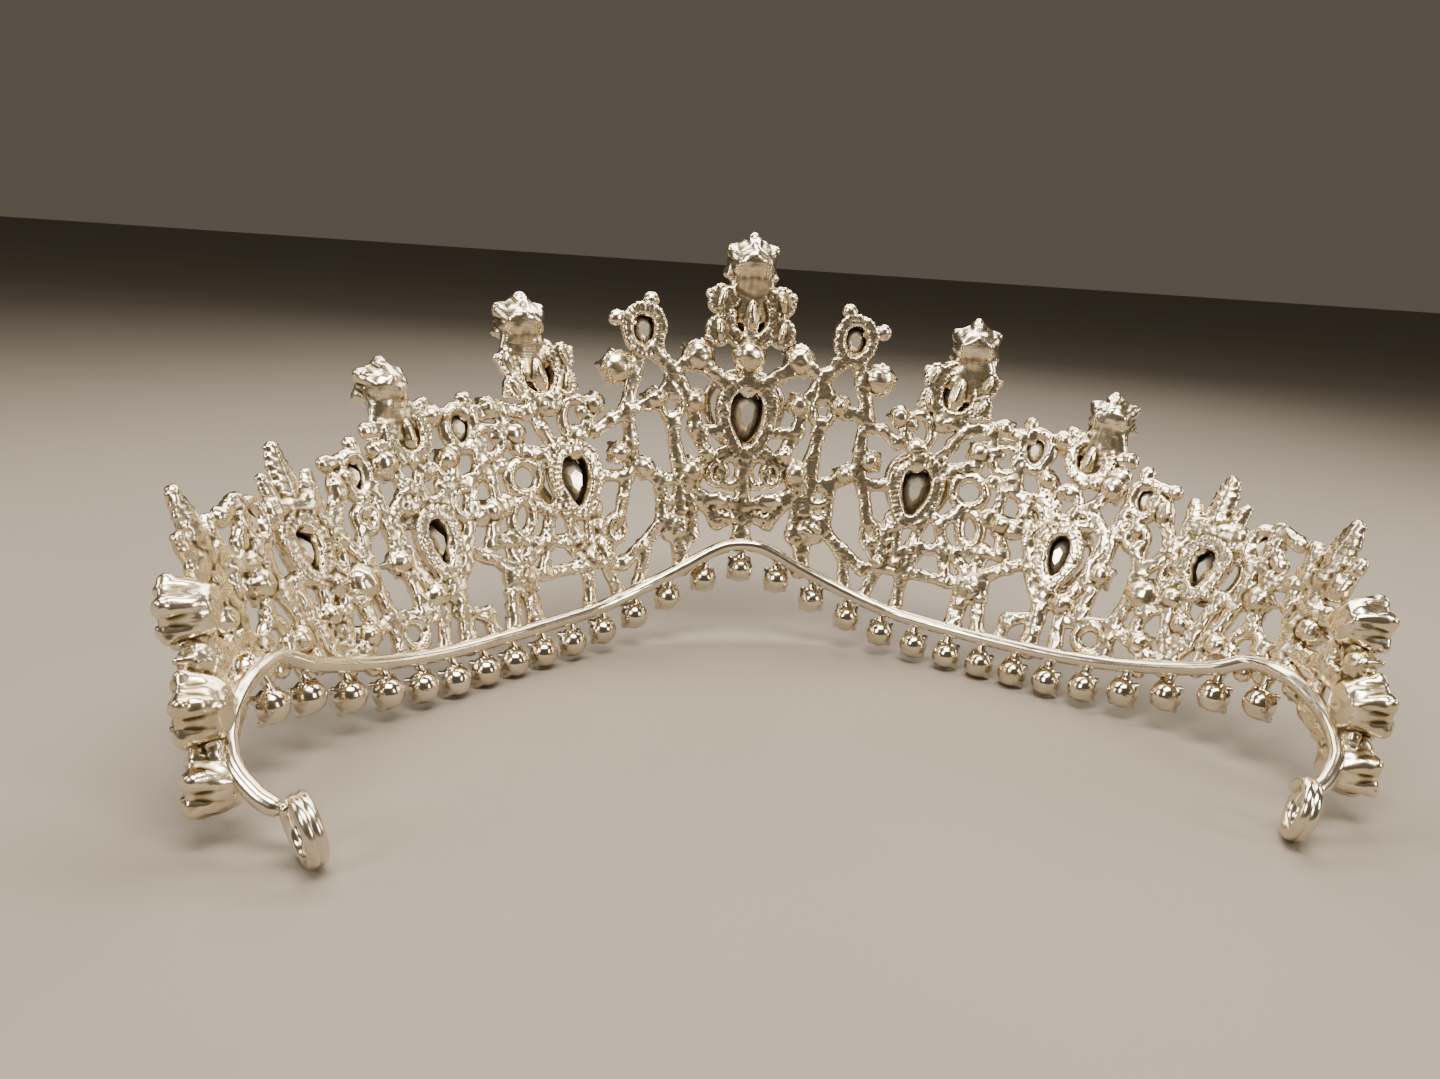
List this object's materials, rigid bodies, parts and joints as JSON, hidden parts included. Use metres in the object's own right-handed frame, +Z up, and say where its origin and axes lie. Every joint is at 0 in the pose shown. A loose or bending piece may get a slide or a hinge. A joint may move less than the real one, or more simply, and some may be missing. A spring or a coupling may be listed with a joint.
{
  "type": "bridal tiara",
  "caption": "Openwork silver tiara: wire base with a raised centre peak, cast motifs with drop, oval and round clear stones, a hem row of small stones, and end eyelets.",
  "frame": {"origin": "middle of the part's bounding box in plan, on the surface it stands on", "axes": "+Z up, the front of the tiara faces -Y, +X is the wearer's left"},
  "size_m": [0.1512, 0.086, 0.0671],
  "materials": {
    "plated_wire": "bright silver plate on smooth round wire",
    "cast_openwork": "bright silver plate on cast alloy, finely ridged and beaded",
    "cast_halo": "bright silver plate, beaded rim",
    "claw_cups": "bright silver plate, rounded back",
    "crystal": "clear cut stone with a silvered back",
    "foiled_crystal": "small clear cut stone with a silvered back"
  },
  "bodies": {
    "root": {"base_wire": "plated_wire", "end_eyelet_left": "plated_wire", "end_eyelet_right": "plated_wire", "hem_cups": "claw_cups", "hem_stones": "foiled_crystal", "centre_casting": "cast_openwork", "centre_halo": "cast_halo", "centre_crest_stone": "crystal", "centre_oval_stone": "crystal", "centre_drop_stone": "crystal", "centre_side_stones": "crystal", "inner_casting_left": "cast_openwork", "inner_casting_right": "cast_openwork", "inner_stones_left": "crystal", "inner_stones_right": "crystal", "second_casting_left": "cast_openwork", "second_casting_right": "cast_openwork", "second_halo_left": "cast_halo", "second_halo_right": "cast_halo", "second_crest_stone_left": "crystal", "second_crest_stone_right": "crystal", "second_drop_stone_left": "crystal", "second_drop_stone_right": "crystal", "second_stones_left": "crystal", "second_stones_right": "crystal", "cluster_casting_left": "cast_openwork", "cluster_casting_right": "cast_openwork", "cluster_stones_left": "crystal", "cluster_stones_right": "crystal", "third_casting_left": "cast_openwork", "third_casting_right": "cast_openwork", "third_halo_left": "cast_halo", "third_halo_right": "cast_halo", "third_crest_stone_left": "crystal", "third_crest_stone_right": "crystal", "third_stones_left": "crystal", "third_stones_right": "crystal", "bridge_casting_left": "cast_openwork", "bridge_casting_right": "cast_openwork", "bridge_stones_left": "crystal", "bridge_stones_right": "crystal", "fourth_casting_left": "cast_openwork", "fourth_casting_right": "cast_openwork", "fourth_halo_left": "cast_halo", "fourth_halo_right": "cast_halo", "fourth_stones_left": "crystal", "fourth_stones_right": "crystal", "temple_casting_left": "cast_openwork", "temple_casting_right": "cast_openwork", "temple_stones_left": "crystal", "temple_stones_right": "crystal", "end_casting_left": "cast_openwork", "end_casting_right": "cast_openwork", "end_stones_left": "crystal", "end_stones_right": "crystal"}
  },
  "joints": []
}
